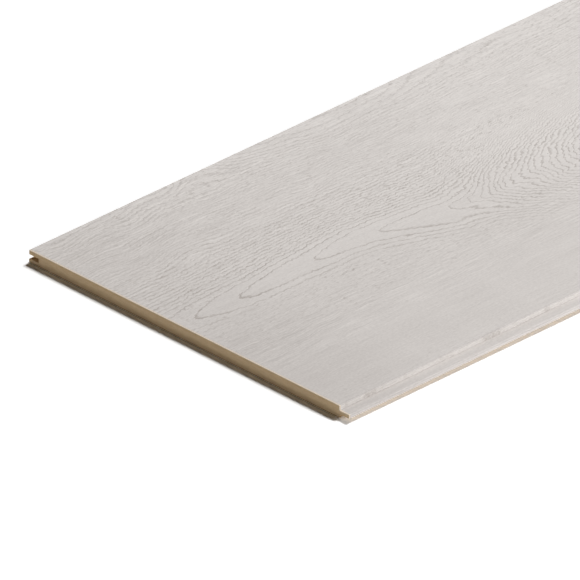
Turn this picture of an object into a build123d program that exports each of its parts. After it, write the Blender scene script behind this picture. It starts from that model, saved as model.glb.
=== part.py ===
from build123d import *
import os

# A tongue-and-groove wall panel: one MDF board with a decor film wrapped over its face and tongue.
# The panel lies face up. X runs across it, from the groove to the tongue, and Y along its length.
# The origin is on the floor, under the middle of its whole width and length. All sizes are in millimetres.

# The panel as it is sold
PANEL_LENGTH = 2600.0
FACE_WIDTH = 250.0
THICKNESS = 8.0

# The groove along the left edge
FACE_LIP = 2.9
GROOVE_OPENING = 2.8
GROOVE_DEPTH = 7.8

# The fit of the tongue in the next panel's groove
TIP_CLEARANCE = 0.2
SIDE_CLEARANCE = 0.1
BACK_JOINT_GAP = 0.3

# The film, and the rounding of the board's arrises under it
FILM_THICKNESS = 0.4
BOARD_ARRIS_RADIUS = 0.2
FILM_FOOT_RADIUS = 0.25

# The milled corners that the film leaves bare
GROOVE_CORNER_RADIUS = 0.3
MOUTH_CHAMFER = 0.3
TONGUE_CHAMFER = 0.2
BACK_CHAMFER = 0.3

# Places across the panel
tongue_projection = GROOVE_DEPTH - TIP_CLEARANCE
face_left = -(FACE_WIDTH + tongue_projection) / 2
face_right = face_left + FACE_WIDTH
tongue_tip = face_right + tongue_projection
groove_end = face_left + GROOVE_DEPTH
back_right = face_right - BACK_JOINT_GAP

# Heights above the floor
groove_top = THICKNESS - FACE_LIP
groove_bottom = groove_top - GROOVE_OPENING
tongue_top = groove_top - SIDE_CLEARANCE
tongue_bottom = groove_bottom + SIDE_CLEARANCE


def block(left, right, low, high):
    """A rectangle of the cross-section, between two places across the panel and two heights."""
    return Pos((left + right) / 2, (low + high) / 2) * Rectangle(right - left, high - low)


def corner(section, across, height):
    """The corner of the cross-section that lies at the given place and height."""
    return section.vertices().sort_by_distance((across, height))[0]


def rounded(section, radius, *places):
    """The cross-section with the corners at these places rounded."""
    return fillet([corner(section, *place) for place in places], radius)


def bevelled(section, size, place):
    """The cross-section with the corner at this place bevelled."""
    return chamfer(corner(section, *place), size)


def wrapped_section(skin):
    """The panel's cross-section, with every face that the film covers set in by a skin's thickness."""
    left = face_left + skin
    right = face_right - skin
    high = THICKNESS - skin
    tip = tongue_tip - skin
    ledge = tongue_top - skin

    back = block(face_left, back_right, 0, tongue_bottom)
    middle = block(face_left, tip, tongue_bottom, ledge)
    front = block(left, right, ledge, high)
    groove = block(face_left, groove_end, groove_bottom, groove_top)
    section = back + middle + front - groove

    outer_radius = BOARD_ARRIS_RADIUS + FILM_THICKNESS - skin
    section = rounded(section, outer_radius, (left, high), (right, high), (tip, ledge))
    section = rounded(section, FILM_FOOT_RADIUS + skin, (right, ledge))
    section = rounded(section, GROOVE_CORNER_RADIUS, (groove_end, groove_bottom), (groove_end, groove_top))
    section = bevelled(section, MOUTH_CHAMFER, (face_left, groove_bottom))
    section = bevelled(section, BACK_CHAMFER, (face_left, 0))
    return bevelled(section, BACK_CHAMFER, (back_right, 0))


def run_of(section):
    """The cross-section drawn out to the panel's length, half of it each way from the middle."""
    return extrude(Plane.XZ * section, amount=PANEL_LENGTH / 2, both=True)


# The whole outline, with the small lead-in under the tongue's tip, which cuts only the film
outline = bevelled(wrapped_section(0), TONGUE_CHAMFER, (tongue_tip, tongue_bottom))
board_section = wrapped_section(FILM_THICKNESS) & outline

parts = {
    "mdf_board": run_of(board_section),
    "decor_film": run_of(outline - board_section),
}

os.makedirs("parts", exist_ok=True)
for name, solid in parts.items():
    solid.label = name
    export_step(solid, f"parts/{name}.step")
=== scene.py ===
import math
import random

import bpy
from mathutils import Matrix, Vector


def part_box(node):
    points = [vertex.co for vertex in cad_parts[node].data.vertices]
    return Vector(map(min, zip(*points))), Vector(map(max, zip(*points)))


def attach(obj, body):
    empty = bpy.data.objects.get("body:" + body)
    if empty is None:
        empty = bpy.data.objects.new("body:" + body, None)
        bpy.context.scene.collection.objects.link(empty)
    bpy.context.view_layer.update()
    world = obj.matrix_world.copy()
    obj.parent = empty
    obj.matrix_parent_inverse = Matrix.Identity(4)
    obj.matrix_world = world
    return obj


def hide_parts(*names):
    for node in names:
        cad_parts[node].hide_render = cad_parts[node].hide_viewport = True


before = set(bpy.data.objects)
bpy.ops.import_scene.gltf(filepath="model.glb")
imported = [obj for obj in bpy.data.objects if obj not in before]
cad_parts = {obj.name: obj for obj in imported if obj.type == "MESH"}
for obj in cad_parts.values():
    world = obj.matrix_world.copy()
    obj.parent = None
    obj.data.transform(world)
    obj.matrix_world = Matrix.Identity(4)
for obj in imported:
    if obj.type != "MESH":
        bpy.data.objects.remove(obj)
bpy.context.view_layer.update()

# Places that the frame gives, in metres
film_low, film_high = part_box("decor_film")
board_low, board_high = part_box("mdf_board")
LEFT = film_low.x
TIP = film_high.x
NEAR = film_low.y
FAR = film_high.y
TOP = film_high.z
FILM = film_high.z - board_high.z

MM = 1000.0  # millimetres in a metre: the patterns are laid out in millimetres

# Sizes of the film's fold, in metres
FACE_WIDTH = 0.2500
FACE_LIP = 0.0029
RISER_HEIGHT = 0.0030
FOLD_RADIUS = 0.0006
FOOT_RADIUS = 0.00025
TIP_BEVEL = 0.0002
# The steps round each of its arcs, and the angle in degrees below which its faces are shaded as one
FOLD_STEPS = 5
FOOT_STEPS = 4
SHARP_ANGLE = 28

# The step between the film's rows of points, and how far a dent pulls the face down beside it, in metres
ROW_STEP = 0.0016
DENT_REACH = 0.0015

# The dents near the panel's near end: the middle and half the length of each, in millimetres
NEAR_DENTS = ((5, 2.2), (20, 3), (27, 3), (51, 2.5), (76, 3), (86, 3), (114, 4), (122, 4), (162, 3.5))
NEAR_DENT_DEPTH = 0.00013
# The dents further on, in metres: where they start, and the least and most of their other sizes
FURTHER_DENTS_START = 0.205
FURTHER_DENT_HALF = (0.0015, 0.0045)
FURTHER_DENT_DEPTH = (0.00010, 0.00028)
FURTHER_DENT_SPACING = (0.014, 0.055)
DENT_SEED = 7


class Graph:
    """A material's nodes, built by plain calls that return sockets."""

    def __init__(self, name):
        self.material = bpy.data.materials.new(name)
        self.material.use_nodes = True
        self.tree = self.material.node_tree
        self.tree.nodes.clear()

    def node(self, kind, **settings):
        """A new node with these settings."""
        made = self.tree.nodes.new(kind)
        for key, value in settings.items():
            setattr(made, key, value)
        return made

    def feed(self, socket, value):
        """Links a socket to another one, or sets it to a number or colour."""
        if isinstance(value, bpy.types.NodeSocket):
            self.tree.links.new(value, socket)
        else:
            socket.default_value = value

    def math(self, operation, *values, clamp=False):
        made = self.node("ShaderNodeMath", operation=operation, use_clamp=clamp)
        for socket, value in zip(made.inputs, values):
            self.feed(socket, value)
        return made.outputs[0]

    def add(self, *values):
        total = values[0]
        for value in values[1:]:
            total = self.math("ADD", total, value)
        return total

    def times(self, *values):
        total = values[0]
        for value in values[1:]:
            total = self.math("MULTIPLY", total, value)
        return total

    def minus(self, a, b):
        return self.math("SUBTRACT", a, b)

    def over(self, a, b):
        return self.math("DIVIDE", a, b)

    def plus_share(self, base, share, value, clamp=False):
        """The base with a share of the value added, held between 0 and 1 if clamped."""
        return self.math("MULTIPLY_ADD", value, share, base, clamp=clamp)

    def ease(self, value, low, high, start=0.0, end=1.0):
        """The value carried from low..high to start..end, level outside and smooth between."""
        made = self.node("ShaderNodeMapRange", interpolation_type="SMOOTHSTEP")
        for socket, number in zip(made.inputs, (value, low, high, start, end)):
            self.feed(socket, number)
        return made.outputs[0]

    def fade(self, value, low, high):
        """1 where the value is up to low, 0 where it is past high, and smooth between."""
        return self.ease(value, low, high, 1.0, 0.0)

    def curve(self, value, points):
        """A smooth curve through (place, height) points, level past both ends."""
        places = [place for place, _ in points]
        heights = [height for _, height in points]
        first = min(places)
        span = max(places) - first
        low = min(heights)
        rise = max(heights) - low
        made = self.node("ShaderNodeFloatCurve")
        line = made.mapping.curves[0]
        while len(line.points) < len(points):
            line.points.new(0.5, 0.5)
        for dot, (place, height) in zip(line.points, points):
            dot.location = ((place - first) / span, (height - low) / rise)
        made.mapping.update()
        self.feed(made.inputs["Value"], self.math("DIVIDE", self.minus(value, first), span, clamp=True))
        return self.plus_share(low, rise, made.outputs[0])

    def vector(self, x, y, z=0.0):
        made = self.node("ShaderNodeCombineXYZ")
        for socket, value in zip(made.inputs, (x, y, z)):
            self.feed(socket, value)
        return made.outputs[0]

    def noise(self, x, y, z=0.0, detail=2.0, roughness=0.5, reach=1.0):
        """Smooth noise about 0, mostly within its reach either way."""
        made = self.node("ShaderNodeTexNoise")
        self.feed(made.inputs["Vector"], self.vector(x, y, z))
        made.inputs["Scale"].default_value = 1.0
        made.inputs["Detail"].default_value = detail
        made.inputs["Roughness"].default_value = roughness
        return self.plus_share(-2.0 * reach, 4.0 * reach, made.outputs["Fac"])

    def cells(self, across, along, wide, long, layer, **settings):
        """Noise over the film, in cells of this width and length. Each layer has a pattern of its own."""
        return self.noise(self.over(across, wide), self.over(along, long), layer, **settings)

    def fibres(self, place, density, **settings):
        """Noise in space, with this many cells in a metre along X, Y and Z."""
        return self.noise(*[self.times(value, count) for value, count in zip(place, density)], **settings)

    def blend(self, factor, a, b):
        """One colour at a factor of 0 and the other at 1, mixed between."""
        made = self.node("ShaderNodeMix", data_type="RGBA")
        for socket, value in zip((made.inputs[0], made.inputs[6], made.inputs[7]), (factor, a, b)):
            self.feed(socket, value)
        return made.outputs[2]

    def bump(self, height, distance):
        made = self.node("ShaderNodeBump")
        made.inputs["Distance"].default_value = distance
        self.feed(made.inputs["Height"], height)
        return made.outputs["Normal"]

    def surface(self, kind, **sockets):
        """Ends the graph with one plain surface shader."""
        shader = self.node(kind)
        for name, value in sockets.items():
            self.feed(shader.inputs[name.replace("_", " ")], value)
        output = self.node("ShaderNodeOutputMaterial")
        self.tree.links.new(shader.outputs[0], output.inputs[0])
        return self.material

    def place(self):
        """The point's X, Y and Z in the object's frame."""
        coordinates = self.node("ShaderNodeTexCoord")
        split = self.node("ShaderNodeSeparateXYZ")
        self.tree.links.new(coordinates.outputs["Object"], split.inputs[0])
        return split.outputs


def linear(red, green, blue):
    """A screen colour of 0 to 255 as the shader's linear colour."""
    def decode(value):
        value /= 255
        return value / 12.92 if value <= 0.04045 else ((value + 0.055) / 1.055) ** 2.4

    return (decode(red), decode(green), decode(blue), 1.0)


# The oak print, in millimetres. A place along it is measured from the near end, and a place across it
# from the face's left edge, over the face and on down the riser, over the tongue and down its tip.

ARRIS = FACE_WIDTH * MM
FOOT = ARRIS + RISER_HEIGHT * MM
LENGTH = (FAR - NEAR) * MM

# How many rings the middle of the figure has crossed, at each place along the panel's near end
NEAR_RINGS = (
    (-60, -1.5), (12, 0), (46, 1), (107, 2), (156, 3), (204, 4), (222, 5.6), (250, 10.6),
    (290, 18), (312, 22), (350, 27), (400, 31), (470, 33),
)
# How many more it has crossed past that end
FAR_RINGS = (
    (470, 0), (560, -3), (660, -12), (820, -20), (1000, -25), (1180, -26), (1290, -22), (1380, -13),
    (1470, -4), (1560, 0), (1680, -5), (1800, -14), (1980, -22), (2180, -27), (2400, -30), (2660, -32),
)
# The rings that only the figure's right side has crossed, where its lines swing out to the right
RIGHT_RINGS = ((148, 0), (166, 0.6), (184, 1.4), (213, 1.7), (260, 1.4), (420, 0.0))
# Where the middle of the figure lies across the panel
FIGURE_MIDDLE = (
    (-60, 117), (46, 121), (107, 120), (156, 123), (213, 130), (300, 134), (450, 126), (700, 112),
    (1000, 126), (1300, 140), (1600, 124), (1900, 110), (2200, 122), (2660, 132),
)
# How far beside its middle the figure's arcs reach, at each place along the panel, and how much
# further than that they reach on the right
FIGURE_REACH = ((180, 30), (225, 40), (280, 54), (400, 64), (700, 44), (1300, 58), (2000, 36))
FIGURE_WIDENING = dict(low=-10, high=10, start=1.0, end=1.6)
# How many rings lie between the middle of the figure and each place beside it
RINGS_OUTWARD = (
    (-134, 40), (-118, 37.5), (-105, 33.5), (-85, 25.5), (-65, 17.8), (-45, 11.6), (-30, 6.8), (-20, 3.8),
    (-12, 1.5), (-6, 0.4), (0, 0), (6, 0.25), (12, 1.2), (20, 2.9), (30, 5.0), (45, 8.0), (65, 11.8),
    (85, 14.8), (120, 18.3), (150, 20),
)
# How many rings more than that lie beside the middle where the arcs come to a point, and where they do so
RINGS_TO_POINT = ((-14, 0.9), (-7, 0.6), (0, 0), (7, 0.6), (14, 0.9))
POINTED_ALONG = (
    (196, 0), (226, 1), (270, 0.9), (310, 0.2), (700, 0.3), (1100, 0), (1500, 0.8), (1900, 0.2),
)
# How many rings have closed in from the left edge at each place along it, how far in they reach,
# and about how many of them there are to a millimetre
EDGE_RINGS = (
    (-60, 1.0), (-20, 3.4), (30, 0.8), (62, 0.9), (84, 2.4), (97, 1.9), (122, 4.8), (150, 2.0),
    (186, 0.2), (260, 0.4), (330, 2.6), (400, 0.4), (480, 0),
)
EDGE_FADES = (-12, 28)
EDGE_SLOPE = 0.14

# The two places between which each zone of the print fades away or comes in
LEFT_SIDE_FADES = (62, 106)  # across the panel
RIGHT_SIDE_STARTS = (2, 18)  # from the middle of the figure
TONGUE_SIDE_STARTS = (200, 201)  # across the panel
PACKED_ARCS_START = (196, 226)  # along the panel

# The noises that bend the rings: the width and length of their cells, and where some of them count more
SWAY = dict(wide=60, long=90, layer=0.0, detail=1.0, reach=2.4)
KINK = dict(wide=7, long=12, layer=3.0, detail=2.0)
KINK_ALONG = dict(low=130, high=260, start=0.85, end=0.4)
KINK_ACROSS = dict(low=70, high=104, start=0.65, end=1.0)
SWELL = dict(wide=24, long=50, layer=15.0, detail=1.0)
SWELL_ALONG = dict(low=150, high=260, start=2.6, end=1.4)
SERRATION = dict(wide=1.7, long=16, layer=11.0, detail=2.0, reach=1.3)
JAGS = dict(wide=5, long=2.6, layer=17.0, detail=2.0, reach=0.8)
CURL = dict(wide=26, long=66, layer=8.0, detail=1.0, reach=0.9)
RIPPLE = dict(wide=13, long=30, layer=13.0, detail=1.0, reach=0.7)

SLOPE_STEP = 3.0  # the distance that a curve's slope is taken over
LEAST_SLOPE_SQUARED = 0.0004  # keeps a line's width finite where the rings lie far apart

# The two sides of a ring line: the distances from it between which it fades
SOFT_SIDE = (0.1, 1.3)
SHARP_SIDE = (0.05, 0.4)
# The rings nearest the near end are darker and broader at their tips, close to the middle of the figure
TIP_FADES = (2, 9)
TIPS_ALONG = dict(low=20, high=150, start=0.45, end=0.0)

# How dark the ring lines are across the panel
LINE_STRENGTH = (
    (0, 0.62), (20, 0.62), (34, 0.5), (60, 0.5), (76, 0.8), (104, 0.9), (120, 0.78), (150, 0.76),
    (168, 0.56), (184, 0.16), (200, 0), (228, 0), (241, 0.22), (262, 0.1),
)
# How dark they are everywhere, and how much patches and each ring's own tone add, on the left above all
LINE_BASE = 0.85
PATCHES = dict(wide=8, long=24, layer=5.0, detail=2.0)
PATCH_STRENGTH = 0.35
RING_TONE = dict(y=5.0, z=2.0, detail=0.0)
RING_TONE_STRENGTH = 0.25
RING_TONE_LEFT = 1.2
# How much fainter the lines are to the right of the figure, outside its first ring
FAINT_RIGHT = -0.55
FAINT_RIGHT_FADES = (-0.5, 0.4)
# Where the lines are quieter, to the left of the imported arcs
QUIET_FADES = (-40, -20)
QUIET_ALONG = dict(low=160, high=290, start=0.0, end=0.35)
# How the lines break into dashes: outside the figure's first ring the dashes are shorter
BREAKS = dict(wide=1.1, long=6.5, layer=9.0, detail=2.0)
OUTER_RINGS = dict(low=-4, high=0.2, start=0.55, end=0.0)
SHORT_DASHES = dict(low=-0.55, high=0.45, start=0.1, end=1.15)
LONG_DASHES = dict(low=-0.9, high=0.2, start=0.35, end=1.1)
# How much fainter the lines are where there are many to a millimetre
CROWDING = dict(low=0.25, high=0.6, start=1.0, end=0.5)

# The pores: they are darkest where ring lines are, and fainter inside the figure
PORES = dict(wide=0.6, long=4.5, layer=1.0, detail=1.0)
PORES_START = (0.2, 0.95)
PORE_BASE = 0.02
PORE_LINE_SHARE = 0.95
PORE_PATCHES = dict(wide=10, long=40, layer=4.0, detail=2.0)
PORE_PATCH_SHARE = 0.35
PORES_INSIDE = dict(low=-0.2, high=0.5, start=1.0, end=0.3)

# How marked the fine strands are across the panel
STRAND_STRENGTH = (
    (0, 0.8), (30, 1.0), (80, 0.8), (110, 0.35), (150, 0.5), (180, 0.9), (205, 0.4), (235, 0.32),
    (262, 0.5),
)
# How pale the print is across the panel; its last points paint shade on the tongue's top and a highlight
# on the tongue's tip
TONE_AND_PAINTED_LIGHT_ACROSS = (
    (0, 0.5), (24, 0.4), (50, 0.3), (90, 0.38), (125, 0.24), (160, 0.1), (200, 0.0), (247, 0.02),
    # painted shade over the tongue's top, then a painted highlight on its tip
    (254, -0.52), (259, -0.5), (262, 0.25),
)
# How pale the print is along the panel: over its first 420 mm it is a painted light gradient, paler away
# from the near end, and further on it wavers as the print's own tone
TONE_AND_PAINTED_LIGHT_ALONG = (
    (0, -0.12), (40, 0.02), (85, 0.28), (160, 0.42), (235, 0.52), (300, 0.74), (420, 0.78), (620, 0.5),
    (900, 0.62), (1250, 0.35), (1600, 0.7), (1950, 0.45), (2300, 0.6), (2600, 0.3),
)
# The noises of the print's tone and how much paler each of them makes it, then the painted shade on the
# arris over the riser and the painted highlight on the riser's face
CLOUDS = dict(wide=46, long=190, layer=6.0, detail=2.0)
STREAKS = dict(wide=2.4, long=90, layer=7.0, detail=3.0, roughness=0.65)
STRANDS = dict(wide=0.8, long=26, layer=14.0, detail=2.0)
SPECKLE = dict(wide=0.9, long=2.0, layer=12.0, detail=1.0)
CLOUD_TONE = 0.1
STREAK_TONE = 0.12
STRAND_TONE = 0.56
SPECKLE_TONE = 0.22
ARRIS_PAINTED_SHADE = -0.4
RISER_PAINTED_HIGHLIGHT = 1.15
# The share of the way from the deep tone to the pale one: where it starts, and how much the tone adds
TONE_START = 0.25
TONE_SHARE = 0.5

# Where the painted shade on the arris and the painted highlight on the riser start and end, across the
# panel and down from the face
ARRIS_SHADE_STARTS = (ARRIS - 1.4, ARRIS - 0.6)
ARRIS_SHADE_FADES_DOWN = (0.15, 0.5)
RISER_HIGHLIGHT_STARTS_DOWN = (0.25, 0.7)
RISER_HIGHLIGHT_FADES_DOWN = (2.75, 3.1)

# Where dark nicks lie along the riser, near the panel's near end
NICKS_ALONG = (
    (0, 0), (3, 0), (5, 0.7), (8, 0), (17, 0), (20, 1), (27, 1), (30, 0), (49, 0), (51, 0.5), (53, 0),
    (68, 0), (74, 0.35), (86, 0.45), (92, 0), (109, 0), (113, 0.9), (124, 1), (127, 0), (159, 0),
    (162, 1), (166, 0), (190, 0),
)
# The nicks further on, about how far apart they lie, and how all nicks are spread and mottled
FURTHER_NICKS = dict(y=21.0, detail=1.0)
FURTHER_NICK_SPACING = 16
FURTHER_NICKS_SHOW = (0.45, 0.7)
FURTHER_NICKS_START = (185, 190)
NICKS_START = (ARRIS - 1.4, ARRIS - 0.4)
NICKS_FADE = (FOOT, FOOT + 0.8)
NICK_MOTTLE = dict(wide=1.2, long=1.8, layer=22.0, detail=2.0)
NICK_CONTRAST = dict(low=-0.7, high=0.5, start=0.25, end=1.0)

DEEP_TONE = linear(174, 168, 164)
PALE_TONE = linear(224, 219, 215)
LINE_TONE = linear(143, 134, 127)
PORE_TONE = linear(160, 152, 146)
CORE_TONE = linear(216, 195, 168)

# How much of its own tone each mark takes at its darkest, and how wide the core is along the sawn ends
PORE_MIX = 0.85
LINE_MIX = 0.7
NICK_MIX = 0.42
CORE_BAND = dict(low=0.3, high=1.0, start=0.9, end=0.0)

# The film's relief: its full height in metres, and each pattern's share of it, up or down
FILM_RELIEF = 0.00012
LINE_RELIEF = -0.6
PORE_RELIEF = -0.4
STREAK_RELIEF = 0.06

FILM_ROUGHNESS = 0.44
LINE_ROUGHNESS = 0.15
STREAK_ROUGHNESS = 0.03
FILM_SPECULAR = 0.35


class OakPrint:
    """The printed oak at one point of the film: its place among the rings, and how dark each mark is."""

    def __init__(self, graph):
        self.graph = graph
        x, y, z = graph.place()
        self.down = graph.minus(TOP * MM, graph.times(z, MM))
        self.across = graph.add(graph.times(graph.minus(x, LEFT), MM), self.down)
        self.along = graph.times(graph.minus(y, NEAR), MM)
        self.left_side = graph.fade(self.across, *LEFT_SIDE_FADES)
        self.swayed, self.bent_along = self.bent_places()
        jagged = graph.add(self.swayed, graph.cells(self.across, self.along, **JAGS))
        self.off_middle = graph.minus(jagged, graph.curve(self.along, FIGURE_MIDDLE))
        self.right_side = graph.ease(self.off_middle, *RIGHT_SIDE_STARTS)
        self.count, self.slope = self.ring_count()
        self.streaks = graph.cells(self.swayed, self.along, **STREAKS)

    def bent_places(self):
        """The places across and along at which the rings are looked up, bent as the wood grew."""
        graph, across, along = self.graph, self.across, self.along
        sway = graph.cells(across, along, **SWAY)
        kink = graph.cells(across, along, **KINK)
        kink = graph.times(kink, graph.ease(along, **KINK_ALONG), graph.ease(across, **KINK_ACROSS))
        swell = graph.cells(across, along, **SWELL)
        swell = graph.times(swell, self.left_side, graph.ease(along, **SWELL_ALONG))
        serration = graph.cells(across, along, **SERRATION)
        return graph.add(across, sway, kink, swell), graph.add(along, serration, kink)

    def with_slope(self, height_at, place):
        """The height that a function gives at a place, and its slope there."""
        here = height_at(place)
        further = height_at(self.graph.add(place, SLOPE_STEP))
        return here, self.graph.over(self.graph.minus(further, here), SLOPE_STEP)

    def rings_outward(self, place):
        """The rings between the figure's middle and a place beside it."""
        return self.graph.curve(place, RINGS_OUTWARD)

    def rings_along(self, place):
        """The rings that the figure's middle has crossed at a place along the panel."""
        graph = self.graph
        rings = graph.add(graph.curve(place, NEAR_RINGS), graph.curve(place, FAR_RINGS))
        return graph.plus_share(rings, self.right_side, graph.curve(place, RIGHT_RINGS))

    def figure_fade(self):
        """1 in the figure's middle, and towards 0 past its reach, where its arcs run out straight."""
        graph = self.graph
        widening = graph.ease(self.off_middle, **FIGURE_WIDENING)
        reach = graph.over(self.off_middle, graph.times(graph.curve(self.along, FIGURE_REACH), widening))
        reach_4 = graph.math("POWER", graph.math("ABSOLUTE", reach), 4.0)
        return graph.over(1.0, graph.add(1.0, reach_4))

    def ring_count(self):
        """How many rings have been crossed at this place, and how many there are to a millimetre."""
        graph, across, along = self.graph, self.across, self.along
        fade = self.figure_fade()
        outward, slope_across = self.with_slope(self.rings_outward, self.off_middle)
        rings, slope_along = self.with_slope(self.rings_along, self.bent_along)
        slope_along = graph.times(fade, slope_along)

        edge = graph.fade(across, *EDGE_FADES)
        curl = graph.add(graph.curve(self.bent_along, EDGE_RINGS), graph.cells(across, along, **CURL))
        curl = graph.times(edge, curl)
        slope_edge = graph.times(edge, EDGE_SLOPE)

        point = graph.times(
            graph.curve(self.off_middle, RINGS_TO_POINT), graph.curve(along, POINTED_ALONG), -1.0)
        packed_arcs = graph.times(graph.ease(along, *PACKED_ARCS_START), fade)
        ripple = graph.times(packed_arcs, graph.cells(across, along, **RIPPLE))
        count = graph.add(graph.times(rings, fade), graph.times(outward, -1.0), point, curl, ripple)

        squares = [graph.times(slope, slope) for slope in (slope_across, slope_along, slope_edge)]
        return count, graph.math("SQRT", graph.add(*squares, LEAST_SLOPE_SQUARED))

    def lines(self):
        """How dark a ring line is here."""
        graph = self.graph
        beside_middle = graph.math("ABSOLUTE", self.off_middle)
        tips = graph.times(graph.fade(beside_middle, *TIP_FADES), graph.ease(self.along, **TIPS_ALONG))

        phase = graph.math("FRACT", self.count)
        after = graph.over(graph.over(phase, self.slope), graph.add(tips, 1.0))
        before = graph.over(graph.minus(1.0, phase), self.slope)
        line = graph.math("MAXIMUM", graph.fade(after, *SOFT_SIDE), graph.fade(before, *SHARP_SIDE))

        quiet = graph.fade(self.off_middle, *QUIET_FADES)
        quiet = graph.times(quiet, graph.ease(self.along, **QUIET_ALONG))
        strength = graph.add(self.solid_strength(), tips)
        strength = graph.times(strength, self.dashes(), graph.minus(1.0, quiet))
        crowding = graph.ease(self.slope, **CROWDING)
        strength = graph.times(strength, graph.curve(self.across, LINE_STRENGTH), crowding)
        return graph.math("MULTIPLY", line, strength, clamp=True)

    def solid_strength(self):
        """How dark the ring lines are before they break into dashes, uneven from ring to ring."""
        graph = self.graph
        ring_tone = graph.noise(graph.math("FLOOR", self.count), **RING_TONE)
        ring_tone_strength = graph.plus_share(RING_TONE_STRENGTH, RING_TONE_LEFT, self.left_side)
        faint_right = graph.times(self.right_side, graph.fade(self.count, *FAINT_RIGHT_FADES))
        patches = graph.cells(self.swayed, self.along, **PATCHES)
        solid = graph.plus_share(LINE_BASE, PATCH_STRENGTH, patches)
        solid = graph.add(solid, graph.times(ring_tone, ring_tone_strength))
        return graph.plus_share(solid, FAINT_RIGHT, faint_right)

    def dashes(self):
        """How much of a ring line is left between its breaks."""
        graph = self.graph
        breaks = graph.cells(self.swayed, self.along, **BREAKS)
        outer = graph.ease(self.count, **OUTER_RINGS)
        short_dashes = graph.times(outer, graph.ease(breaks, **SHORT_DASHES))
        long_dashes = graph.times(graph.minus(1.0, outer), graph.ease(breaks, **LONG_DASHES))
        return graph.add(short_dashes, long_dashes)

    def pores(self):
        """How dark a pore is here."""
        graph = self.graph
        patches = graph.cells(self.swayed, self.along, **PORE_PATCHES)
        zone = graph.plus_share(PORE_BASE, PORE_LINE_SHARE, graph.curve(self.across, LINE_STRENGTH))
        zone = graph.plus_share(zone, PORE_PATCH_SHARE, patches, clamp=True)
        pores = graph.ease(graph.cells(self.swayed, self.along, **PORES), *PORES_START)
        return graph.times(pores, zone, graph.ease(self.count, **PORES_INSIDE))

    def tone(self):
        """How pale the print is here: slow clouds, streaks and strands, a painted light gradient along
        the panel, painted shade on the arris and the tongue's top, and a painted highlight on the riser
        and the tongue's tip.
        """
        graph, across, along, down = self.graph, self.across, self.along, self.down
        strands = graph.cells(self.swayed, along, **STRANDS)
        strands = graph.times(strands, graph.curve(across, STRAND_STRENGTH))
        # painted shade on the arris over the riser, and a painted highlight down the riser's face
        arris = graph.times(graph.ease(across, *ARRIS_SHADE_STARTS), graph.fade(down, *ARRIS_SHADE_FADES_DOWN))
        riser = graph.times(graph.ease(down, *RISER_HIGHLIGHT_STARTS_DOWN), graph.fade(down, *RISER_HIGHLIGHT_FADES_DOWN))
        riser = graph.times(riser, graph.ease(across, *TONGUE_SIDE_STARTS))

        pale = graph.curve(along, TONE_AND_PAINTED_LIGHT_ALONG)
        pale = graph.plus_share(pale, CLOUD_TONE, graph.cells(across, along, **CLOUDS))
        pale = graph.add(pale, graph.curve(across, TONE_AND_PAINTED_LIGHT_ACROSS))
        pale = graph.plus_share(pale, STREAK_TONE, self.streaks)
        pale = graph.plus_share(pale, STRAND_TONE, strands)
        pale = graph.plus_share(pale, SPECKLE_TONE, graph.cells(across, along, **SPECKLE))
        # painted shade on the arris and a painted highlight on the riser
        pale = graph.plus_share(pale, ARRIS_PAINTED_SHADE, arris)
        return graph.plus_share(pale, RISER_PAINTED_HIGHLIGHT, riser)

    def nicks(self):
        """How dark a nick is here, where pores cross the riser's arris."""
        graph, across, along = self.graph, self.across, self.along
        on_riser = graph.times(graph.ease(across, *NICKS_START), graph.fade(across, *NICKS_FADE))
        further = graph.noise(graph.over(along, FURTHER_NICK_SPACING), **FURTHER_NICKS)
        further = graph.ease(further, *FURTHER_NICKS_SHOW)
        further = graph.times(further, graph.ease(along, *FURTHER_NICKS_START))
        nick = graph.math("MAXIMUM", graph.curve(along, NICKS_ALONG), further)
        mottle = graph.ease(graph.cells(across, along, **NICK_MOTTLE), **NICK_CONTRAST)
        return graph.times(nick, mottle, on_riser)

    def core(self):
        """How much of the pale core shows here, along both sawn ends."""
        graph = self.graph
        from_end = graph.math("MINIMUM", self.along, graph.minus(LENGTH, self.along))
        return graph.ease(from_end, **CORE_BAND)


def film_material():
    """Whitewashed oak print on a satin film: ring lines, pores, nicks and tone, with painted light along
    the panel, on the riser, its arris and the tongue, and fine relief.
    """
    graph = Graph("oak_decor_film")
    oak = OakPrint(graph)
    line = oak.lines()
    pores = oak.pores()
    share = graph.plus_share(TONE_START, TONE_SHARE, oak.tone(), clamp=True)
    colour = graph.blend(share, DEEP_TONE, PALE_TONE)
    colour = graph.blend(graph.times(pores, PORE_MIX), colour, PORE_TONE)
    colour = graph.blend(graph.times(line, LINE_MIX), colour, LINE_TONE)
    colour = graph.blend(graph.times(oak.nicks(), NICK_MIX), colour, LINE_TONE)
    colour = graph.blend(oak.core(), colour, CORE_TONE)
    relief = graph.add(graph.times(line, LINE_RELIEF), graph.times(pores, PORE_RELIEF))
    relief = graph.add(relief, graph.times(oak.streaks, STREAK_RELIEF))
    rough = graph.plus_share(FILM_ROUGHNESS, LINE_ROUGHNESS, line)
    return graph.surface(
        "ShaderNodeBsdfPrincipled",
        Base_Color=colour,
        Roughness=graph.plus_share(rough, STREAK_ROUGHNESS, oak.streaks),
        Normal=graph.bump(relief, FILM_RELIEF),
        Specular_IOR_Level=FILM_SPECULAR,
    )


# The film's cut edge and the raw board. Densities are cells of noise in a metre, along X, Y and Z.

HALFWAY = 0.5  # between a material's deep tone and its pale one

EDGE_DENSITY = (900.0, 900.0, 900.0)
EDGE_CONTRAST = 0.3
EDGE_DEEP = linear(232, 222, 208)
EDGE_PALE = linear(245, 238, 228)
EDGE_ROUGHNESS = 0.7

FIBRE_DENSITY = (1300.0, 1300.0, 4200.0)
CLUMP_DENSITY = (260.0, 260.0, 800.0)
MDF_DEEP = linear(202, 170, 127)
MDF_PALE = linear(235, 209, 170)
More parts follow.
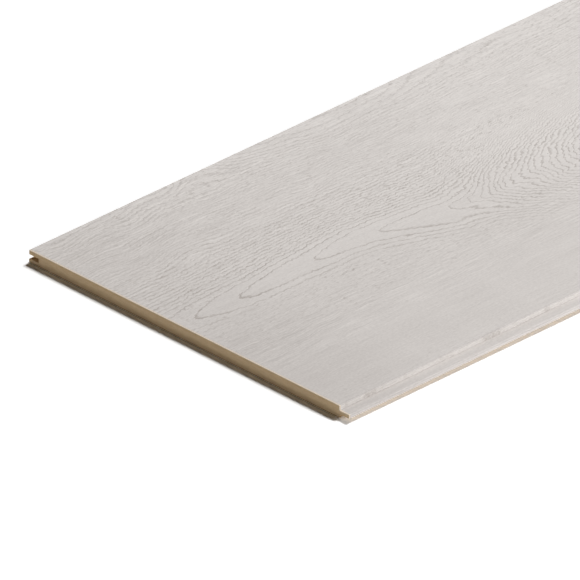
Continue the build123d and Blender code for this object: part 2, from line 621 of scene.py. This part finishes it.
# How much paler than halfway fibres and clumps make the board, and how much darker its denser skins do
FIBRE_TONE = 0.3
CLUMP_TONE = 0.16
SKIN_TONE = -0.25
# How far from the board's middle the skins start and are full, in millimetres
SKIN_STARTS = (1.8, 3.8)
# The board's relief in metres, and the clumps' share beside the fibres' own
MDF_RELIEF = 0.00008
CLUMP_RELIEF = 0.5
MDF_ROUGHNESS = 0.85
FIBRE_ROUGHNESS = 0.05
MDF_SPECULAR = 0.25


def film_edge_material():
    """The film's cut edge: plain cream, a little mottled."""
    graph = Graph("film_cut_edge")
    mottle = graph.fibres(graph.place(), EDGE_DENSITY, detail=2.0)
    share = graph.plus_share(HALFWAY, EDGE_CONTRAST, mottle, clamp=True)
    colour = graph.blend(share, EDGE_DEEP, EDGE_PALE)
    return graph.surface("ShaderNodeBsdfPrincipled", Base_Color=colour, Roughness=EDGE_ROUGHNESS)


def board_material():
    """Raw MDF: pressed wood fibre, denser and darker towards both faces, with a fibrous surface."""
    graph = Graph("raw_mdf")
    x, y, z = graph.place()
    fibre = graph.fibres((x, y, z), FIBRE_DENSITY, detail=4.0, roughness=0.65)
    clumps = graph.fibres((x, y, z), CLUMP_DENSITY, detail=2.0)
    middle = (board_low.z + board_high.z) / 2
    from_middle = graph.math("ABSOLUTE", graph.times(graph.minus(z, middle), MM))
    share = graph.plus_share(HALFWAY, FIBRE_TONE, fibre)
    share = graph.plus_share(share, CLUMP_TONE, clumps)
    share = graph.plus_share(share, SKIN_TONE, graph.ease(from_middle, *SKIN_STARTS), clamp=True)
    relief = graph.plus_share(fibre, CLUMP_RELIEF, clumps)
    return graph.surface(
        "ShaderNodeBsdfPrincipled",
        Base_Color=graph.blend(share, MDF_DEEP, MDF_PALE),
        Roughness=graph.plus_share(MDF_ROUGHNESS, FIBRE_ROUGHNESS, fibre),
        Normal=graph.bump(relief, MDF_RELIEF),
        Specular_IOR_Level=MDF_SPECULAR,
    )


def arc(centre, radius, start, end, steps):
    """Points of an arc in the cross-section, with its angles in degrees."""
    angles = [math.radians(start + (end - start) * i / steps) for i in range(steps + 1)]
    return [(centre[0] + radius * math.cos(a), centre[1] + radius * math.sin(a)) for a in angles]


def fold_line(skin):
    """The film's line in the cross-section, set in from its outer face by a skin's thickness.

    It runs from the groove's mouth up over the face, down the riser, over the tongue and down its tip,
    where its outer corner is bevelled.
    """
    left = LEFT + skin
    riser = LEFT + FACE_WIDTH - skin
    top = TOP - skin
    ledge = TOP - RISER_HEIGHT - skin
    tip = TIP - skin
    fold = FOLD_RADIUS - skin
    foot = FOOT_RADIUS + skin
    bevel = max(TIP_BEVEL - skin, 0.0)
    return [
        (left, TOP - FACE_LIP),
        *arc((left + fold, top - fold), fold, 180, 90, FOLD_STEPS),
        (riser - fold - DENT_REACH, top),
        *arc((riser - fold, top - fold), fold, 90, 0, FOLD_STEPS),
        *arc((riser + foot, ledge + foot), foot, 180, 270, FOOT_STEPS),
        *arc((tip - fold, ledge - fold), fold, 90, 0, FOLD_STEPS),
        (tip, film_low.z + TIP_BEVEL),
        (tip - bevel, film_low.z),
    ]


def arris_dents():
    """Small dents along the riser's arris: each one's middle, half length and depth, in metres."""
    chance = random.Random(DENT_SEED)
    dents = [(NEAR + middle / MM, half / MM, NEAR_DENT_DEPTH) for middle, half in NEAR_DENTS]
    y = NEAR + FURTHER_DENTS_START
    while y < FAR:
        dents.append((y, chance.uniform(*FURTHER_DENT_HALF), chance.uniform(*FURTHER_DENT_DEPTH)))
        y += chance.uniform(*FURTHER_DENT_SPACING)
    return dents


def dent_at(y, dents):
    """How deep the arris is dented at a place along the panel."""
    near_by = [dent for dent in dents if abs(y - dent[0]) < dent[1]]
    depths = [(1 - ((y - middle) / half) ** 2) * depth for middle, half, depth in near_by]
    return max(depths, default=0.0)


def strip_points(outer, inner, rows):
    """The strip's points, row by row along the panel. A dent moves the arris in and down."""
    dents = arris_dents()
    riser = LEFT + FACE_WIDTH
    on_arris = [abs(x - riser) < 2 * FOLD_RADIUS and z > TOP - 2 * FOLD_RADIUS for x, z in outer]
    on_arris += [False] * len(inner)
    points = []
    for row in range(rows + 1):
        y = NEAR + (FAR - NEAR) * row / rows
        push = dent_at(y, dents) * math.sqrt(0.5)
        for (x, z), pushed in zip(outer + inner[::-1], on_arris):
            points.append((x - push, y, z - push) if pushed else (x, y, z))
    return points


def strip_faces(side, rows):
    """The strip's faces, from row to row, and last the ones that close its two ends."""
    count = 2 * side
    faces = []
    for row in range(rows):
        for i in range(count):
            j = (i + 1) % count
            faces.append((row * count + i, row * count + j, (row + 1) * count + j, (row + 1) * count + i))
    far_row = rows * count
    for i in range(side - 1):
        faces.append((i + 1, i, count - 1 - i, count - 2 - i))
        faces.append((far_row + i, far_row + i + 1, far_row + count - 2 - i, far_row + count - 1 - i))
    return faces


def film_mesh():
    """The film as one closed strip, with the print on its faces and cream along its cut edges."""
    outer = fold_line(0.0)
    inner = fold_line(FILM)
    side = len(outer)
    rows = round((FAR - NEAR) / ROW_STEP)
    mesh = bpy.data.meshes.new("decor_film_wrap")
    mesh.from_pydata(strip_points(outer, inner, rows), [], strip_faces(side, rows))
    mesh.update()
    mesh.polygons.foreach_set("use_smooth", [True] * len(mesh.polygons))
    mesh.materials.append(film_material())
    mesh.materials.append(film_edge_material())

    # The film is cut at both ends, at the groove's mouth and at the bevel under the tongue's tip
    count = 2 * side
    cut_strips = (side - 2, side - 1, count - 1)
    first_end_face = rows * count
    for index, face in enumerate(mesh.polygons):
        cut_edge = index >= first_end_face or index % count in cut_strips
        face.material_index = 1 if cut_edge else 0
    mesh.set_sharp_from_angle(angle=math.radians(SHARP_ANGLE))
    return mesh


def add_film():
    """The film, with small dents in its arris over the riser, as wrapped film has."""
    piece = bpy.data.objects.new("decor_film_wrap", film_mesh())
    bpy.context.scene.collection.objects.link(piece)
    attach(piece, "root")
    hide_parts("decor_film")


def dress_board():
    """Gives the board its raw MDF finish."""
    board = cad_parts["mdf_board"]
    board.data.materials.clear()
    board.data.materials.append(board_material())


# The stage, the lights and the camera, in metres and degrees

FLOOR_HALF = 30.0
FLOOR_DROP = 0.00005  # below the board's back
FLOOR_WHITE = (0.92, 0.92, 0.92, 1.0)
FLOOR_SEEN_WHITE = (1.32, 1.32, 1.32, 1.0)
SKY_WHITE = (1.0, 1.0, 1.0, 1.0)
SKY_SEEN = 1.0
AMBIENT = 0.006

# Each lamp's turn from +X towards +Y, its elevation, its strength, and how wide it looks
LAMPS = {
    "key": (101, 56.5, 2.83, 17),
    "tongue_side": (28, 17, 2.55, 14),
    "front": (-92, 3.5, 0.28, 7),
}

CAMERA_TURN = -44.226
CAMERA_ELEVATION = 29.072
CAMERA_DISTANCE = 14.903
CAMERA_LENS = 1650  # millimetres
CAMERA_SENSOR = 36  # millimetres
CAMERA_NEAREST = 1.0
CAMERA_FURTHEST = 100.0
# The picture's middle on the panel's face, from its left edge and its near end
AIM_ACROSS = 0.13589
AIM_ALONG = 0.07246


def seen_directly(tree):
    """A socket that is 1 for what the camera sees, also in gloss or through glass, and otherwise 0."""
    path = tree.nodes.new("ShaderNodeLightPath")
    seen = path.outputs["Is Camera Ray"]
    for kind in ("Is Glossy Ray", "Is Transmission Ray"):
        either = tree.nodes.new("ShaderNodeMath")
        either.operation = "MAXIMUM"
        tree.links.new(seen, either.inputs[0])
        tree.links.new(path.outputs[kind], either.inputs[1])
        seen = either.outputs[0]
    return seen


def floor():
    """A plain white floor, which the camera sees a little brighter, so that its open part is white."""
    graph = Graph("floor_white")
    white = graph.blend(seen_directly(graph.tree), FLOOR_WHITE, FLOOR_SEEN_WHITE)
    half = FLOOR_HALF
    corners = [(-half, -half), (half, -half), (half, half), (-half, half)]
    mesh = bpy.data.meshes.new("floor")
    mesh.from_pydata([(x, y, -FLOOR_DROP) for x, y in corners], [], [(0, 1, 2, 3)])
    mesh.materials.append(graph.surface("ShaderNodeBsdfDiffuse", Color=white))
    made = bpy.data.objects.new("floor", mesh)
    bpy.context.scene.collection.objects.link(made)


def sky():
    """White behind everything the camera sees, and a low even light for the rest."""
    world = bpy.data.worlds.new("studio")
    world.use_nodes = True
    bpy.context.scene.world = world
    tree = world.node_tree
    tree.nodes.clear()
    background = tree.nodes.new("ShaderNodeBackground")
    background.inputs["Color"].default_value = SKY_WHITE
    level = tree.nodes.new("ShaderNodeMapRange")
    tree.links.new(seen_directly(tree), level.inputs["Value"])
    level.inputs["To Min"].default_value = AMBIENT
    level.inputs["To Max"].default_value = SKY_SEEN
    tree.links.new(level.outputs[0], background.inputs["Strength"])
    output = tree.nodes.new("ShaderNodeOutputWorld")
    tree.links.new(background.outputs[0], output.inputs[0])


def direction(turn, elevation):
    """The direction at this turn from +X towards +Y and this elevation, both in degrees."""
    turn = math.radians(turn)
    elevation = math.radians(elevation)
    level = math.cos(elevation)
    return Vector((math.cos(turn) * level, math.sin(turn) * level, math.sin(elevation)))


def add_facing(made, back):
    """Adds a lamp or a camera to the scene, turned to look away from the direction behind it."""
    made.rotation_mode = "QUATERNION"
    made.rotation_quaternion = back.to_track_quat("Z", "Y")
    bpy.context.scene.collection.objects.link(made)


def lights():
    """A soft key from behind the far end, a low lamp from the tongue's side and a faint one in front."""
    for name, (turn, elevation, strength, width) in LAMPS.items():
        lamp = bpy.data.lights.new(name, "SUN")
        lamp.energy = strength
        lamp.angle = math.radians(width)
        add_facing(bpy.data.objects.new(name, lamp), direction(turn, elevation))


def camera():
    """A long lens at the photograph's angle, aimed at the photograph's middle on the panel's face."""
    data = bpy.data.cameras.new("camera")
    data.lens = CAMERA_LENS
    data.sensor_width = CAMERA_SENSOR
    data.clip_start = CAMERA_NEAREST
    data.clip_end = CAMERA_FURTHEST
    back = direction(CAMERA_TURN, CAMERA_ELEVATION)
    aim = Vector((LEFT + AIM_ACROSS, NEAR + AIM_ALONG, TOP))
    made = bpy.data.objects.new("camera", data)
    made.location = aim + back * CAMERA_DISTANCE
    add_facing(made, back)
    bpy.context.scene.camera = made


bpy.context.scene.view_settings.view_transform = "Standard"
camera()
sky()
lights()
floor()
dress_board()
add_film()
